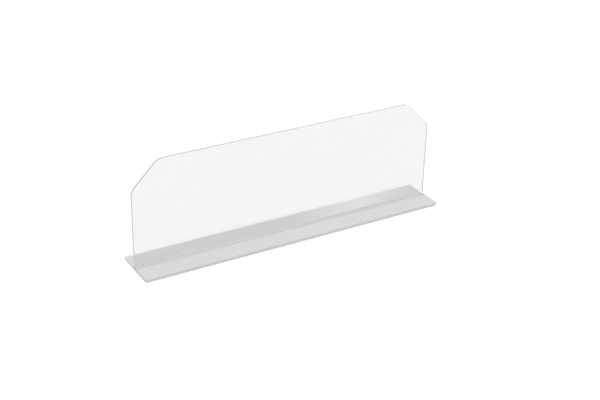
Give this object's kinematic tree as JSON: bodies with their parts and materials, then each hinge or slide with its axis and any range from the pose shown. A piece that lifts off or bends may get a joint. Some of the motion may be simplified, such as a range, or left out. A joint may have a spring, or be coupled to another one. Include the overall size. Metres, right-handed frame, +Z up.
{
  "type": "free-standing sneeze guard",
  "caption": "Low countertop sneeze guard: a clear bent sheet with clipped upper corners, bonded by its flange to a thin flat weighted base on rubber feet.",
  "frame": {"origin": "bottom centre of the box: on the counter, under the middle of the base's length and depth", "axes": "+X along the length, -Y towards the customer's side (the front bar), +Y over the flange to the server's side, +Z up"},
  "size_m": [0.9144, 0.1396, 0.3048],
  "materials": {
    "clear_acrylic": "clear cast acrylic, polished edges",
    "bonding_film": "thin grey bonding film",
    "grey_sealant": "matte light grey sealant",
    "plate_paint": "satin light grey powder coat on steel",
    "bar_paint": "matte light grey powder coat on steel",
    "zinc_steel": "bright zinc plate",
    "foot_rubber": "matte black rubber"
  },
  "bodies": {
    "root": {"guard_panel": "clear_acrylic", "bonding_film": "bonding_film", "sealant_bead": "grey_sealant", "base_plate": "plate_paint", "front_bar": "bar_paint", "front_bar_screws": "zinc_steel", "rubber_foot_front_left": "foot_rubber", "rubber_foot_front_middle": "foot_rubber", "rubber_foot_front_right": "foot_rubber", "rubber_foot_rear_left": "foot_rubber", "rubber_foot_rear_middle": "foot_rubber", "rubber_foot_rear_right": "foot_rubber"}
  },
  "joints": []
}
